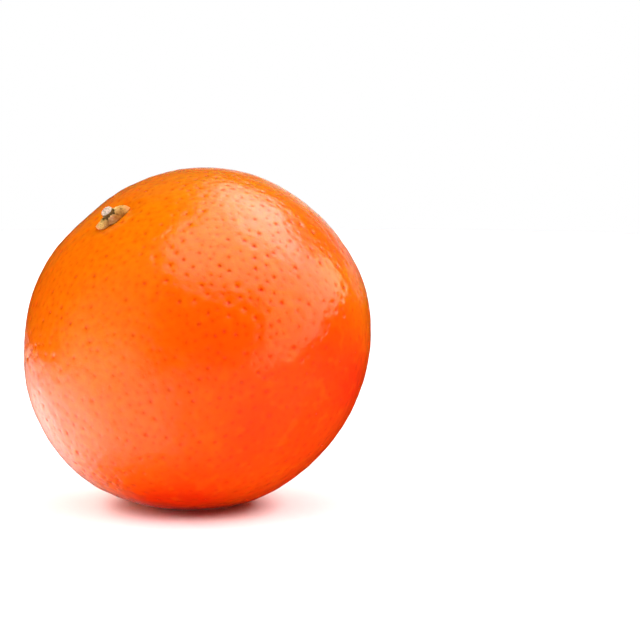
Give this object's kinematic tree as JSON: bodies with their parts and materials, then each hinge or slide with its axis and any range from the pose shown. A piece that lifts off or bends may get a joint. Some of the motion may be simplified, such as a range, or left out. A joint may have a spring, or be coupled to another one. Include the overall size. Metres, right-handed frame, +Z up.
{
  "type": "mandarin",
  "caption": "Whole ripe mandarin orange, unpeeled, with its dry calyx and a short cut stem stub, lying tilted on a small flat spot of its peel.",
  "frame": {"origin": "centre of the small flat spot of peel that the fruit rests on, at the level of the surface under it", "axes": "+Z up. The fruit lies tilted: the stem axis points up and towards -X and -Y, about 38 degrees from vertical, so the calyx is at the upper left when seen along +Y"},
  "size_m": [0.0627, 0.0634, 0.0608],
  "materials": {
    "peel": "gloss",
    "dry_calyx": "matte",
    "cut_stem": "matte"
  },
  "bodies": {
    "root": {"fruit": "peel", "calyx": "dry_calyx", "stem_stub": "cut_stem"}
  },
  "joints": []
}
